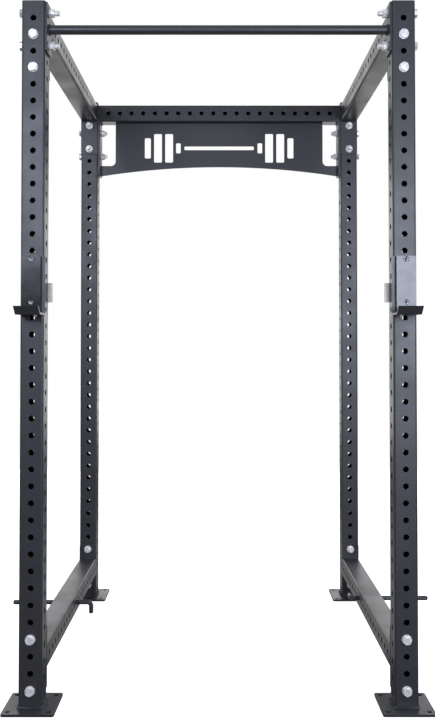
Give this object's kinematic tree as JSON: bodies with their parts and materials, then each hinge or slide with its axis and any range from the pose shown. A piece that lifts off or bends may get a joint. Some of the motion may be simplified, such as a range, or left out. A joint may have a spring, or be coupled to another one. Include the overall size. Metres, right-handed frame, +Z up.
{
  "type": "power cage",
  "caption": "Four-post power cage with punched square tubes, bolt-down base plates, an arched rear header plate, a front pull-up bar, pivoting J-cups and bent storage pins.",
  "frame": {"origin": "on the floor, on the plane halfway between the left and right uprights, and halfway from front to back of the box round the whole cage; the right storage pin reaches 24 mm further out than the left one, so the middle of the box is 12 mm towards +X from the origin", "axes": "+Z up, +X to the right of someone walking in, -Y towards the open front where the J-cups and pull-up bar are"},
  "size_m": [1.526, 1.3164, 2.111],
  "materials": {
    "powder_coat": "fine textured black powder coat",
    "cup_steel": "satin black powder coat",
    "zinc": "bright zinc plating",
    "pin_steel": "satin black",
    "cap_plastic": "moulded black plastic",
    "liner_plastic": "machined black UHMW-PE",
    "screw_steel": "dull steel",
    "pad_plastic": "ribbed light grey plastic"
  },
  "bodies": {
    "frame": {"upright_front_left": "powder_coat", "base_plate_front_left": "powder_coat", "cap_front_left": "cap_plastic", "upright_front_right": "powder_coat", "base_plate_front_right": "powder_coat", "cap_front_right": "cap_plastic", "upright_rear_left": "powder_coat", "base_plate_rear_left": "powder_coat", "cap_rear_left": "cap_plastic", "upright_rear_right": "powder_coat", "base_plate_rear_right": "powder_coat", "cap_rear_right": "cap_plastic", "side_beam_upper_left": "powder_coat", "side_beam_flanges_upper_left": "powder_coat", "side_beam_upper_right": "powder_coat", "side_beam_flanges_upper_right": "powder_coat", "side_beam_lower_left": "powder_coat", "side_beam_flanges_lower_left": "powder_coat", "side_beam_lower_right": "powder_coat", "side_beam_flanges_lower_right": "powder_coat", "rear_crossbeam": "powder_coat", "rear_crossbeam_flanges": "powder_coat", "header_plate": "powder_coat", "pull_up_bar": "powder_coat", "pull_up_bar_flanges": "powder_coat", "front_beam_bolts": "zinc", "front_beam_washers": "zinc", "front_beam_nuts": "zinc", "rear_beam_bolts": "zinc", "rear_beam_washers": "zinc", "rear_beam_nuts": "zinc", "crossbeam_bolts": "zinc", "crossbeam_washers": "zinc", "crossbeam_nuts": "zinc", "pull_up_bar_bolts": "zinc", "pull_up_bar_washers": "zinc", "pull_up_bar_nuts": "zinc"},
    "jcup_pin_left": {"jcup_left_pin": "zinc"},
    "jcup_left": {"jcup_left_bracket": "cup_steel", "jcup_left_front_liner": "liner_plastic", "jcup_left_cradle_liner": "liner_plastic", "jcup_left_guide_pad": "pad_plastic", "jcup_left_screws": "screw_steel"},
    "storage_pin_left": {"storage_pin_left": "pin_steel"},
    "jcup_pin_right": {"jcup_right_pin": "zinc"},
    "jcup_right": {"jcup_right_bracket": "cup_steel", "jcup_right_front_liner": "liner_plastic", "jcup_right_cradle_liner": "liner_plastic", "jcup_right_guide_pad": "pad_plastic", "jcup_right_screws": "screw_steel"},
    "storage_pin_right": {"storage_pin_right": "pin_steel"}
  },
  "joints": [
    {"name": "jcup_left_pull_out", "type": "slide", "parent": "frame", "child": "jcup_pin_left", "axis": [0, -1, 0], "range_m": [0, 0.08]},
    {"name": "jcup_left_swing", "type": "hinge", "parent": "jcup_pin_left", "child": "jcup_left", "pos_m": [-0.555, -0.55425, 1.308], "axis": [0, -1, 0], "range_deg": [0, 90]},
    {"name": "jcup_right_pull_out", "type": "slide", "parent": "frame", "child": "jcup_pin_right", "axis": [0, -1, 0], "range_m": [0, 0.08]},
    {"name": "jcup_right_swing", "type": "hinge", "parent": "jcup_pin_right", "child": "jcup_right", "pos_m": [0.555, -0.55425, 1.308], "axis": [0, 1, 0], "range_deg": [0, 90]},
    {"name": "storage_pin_left_slide", "type": "slide", "parent": "frame", "child": "storage_pin_left", "axis": [1, 0, 0], "range_m": [-0.0385, 0.245]},
    {"name": "storage_pin_right_slide", "type": "slide", "parent": "frame", "child": "storage_pin_right", "axis": [-1, 0, 0], "range_m": [-0.0145, 0.269]}
  ]
}
